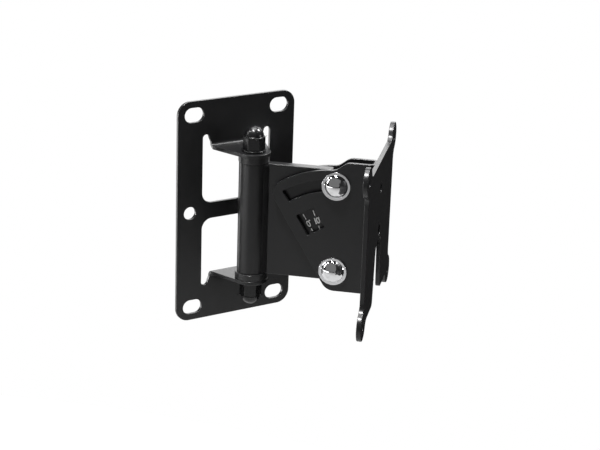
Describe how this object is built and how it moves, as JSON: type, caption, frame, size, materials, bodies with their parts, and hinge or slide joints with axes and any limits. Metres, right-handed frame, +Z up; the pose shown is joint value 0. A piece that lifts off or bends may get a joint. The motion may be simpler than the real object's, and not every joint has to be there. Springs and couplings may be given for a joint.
{
  "type": "speaker wall bracket",
  "caption": "Steel wall bracket for a loudspeaker: slotted wall plate, swivelling arm on an upright stud, and a tilting head with a scale and an eared speaker plate.",
  "frame": {"origin": "middle of the wall plate's back face, on the wall", "axes": "+Y into the wall, +Z up along the hinge stud, +X to the right seen from the room"},
  "size_m": [0.1947, 0.168, 0.2],
  "materials": {
    "plate_coat": "satin black powder coat",
    "arm_coat": "satin black powder coat",
    "head_coat": "satin black powder coat",
    "black_nut": "glossy black",
    "bush": "black bearing plastic",
    "spacer": "black plastic washer",
    "polished": "polished",
    "zinc": "bright zinc"
  },
  "bodies": {
    "wall": {"wall_plate": "plate_coat", "hinge_stud": "zinc", "upper_cap_nut": "black_nut", "lower_cap_nut": "black_nut", "upper_hinge_washer": "black_nut", "lower_hinge_washer": "black_nut"},
    "arm": {"hinge_tube": "arm_coat", "upper_bush": "bush", "lower_bush": "bush", "arm_plate": "arm_coat", "arm_weld": "arm_coat", "clamp_bolt": "polished", "clamp_spacers": "spacer", "tilt_spacers": "spacer", "clamp_washer": "zinc", "clamp_lock_washer": "zinc", "clamp_nut": "zinc"},
    "head": {"head_channel": "head_coat", "speaker_plate": "head_coat", "head_weld": "head_coat", "tilt_bolt": "polished", "tilt_washer": "zinc", "tilt_lock_washer": "zinc", "tilt_nut": "zinc"}
  },
  "joints": [
    {"name": "swivel", "type": "hinge", "parent": "wall", "child": "arm", "pos_m": [0, -0.0325, 0], "axis": [0, 0, 1], "range_deg": [-107.3, 12.7]},
    {"name": "tilt", "type": "hinge", "parent": "arm", "child": "head", "pos_m": [0.05423, -0.08254, -0.0398], "axis": [0.6782, 0.7349, 0], "range_deg": [0, 30]}
  ]
}
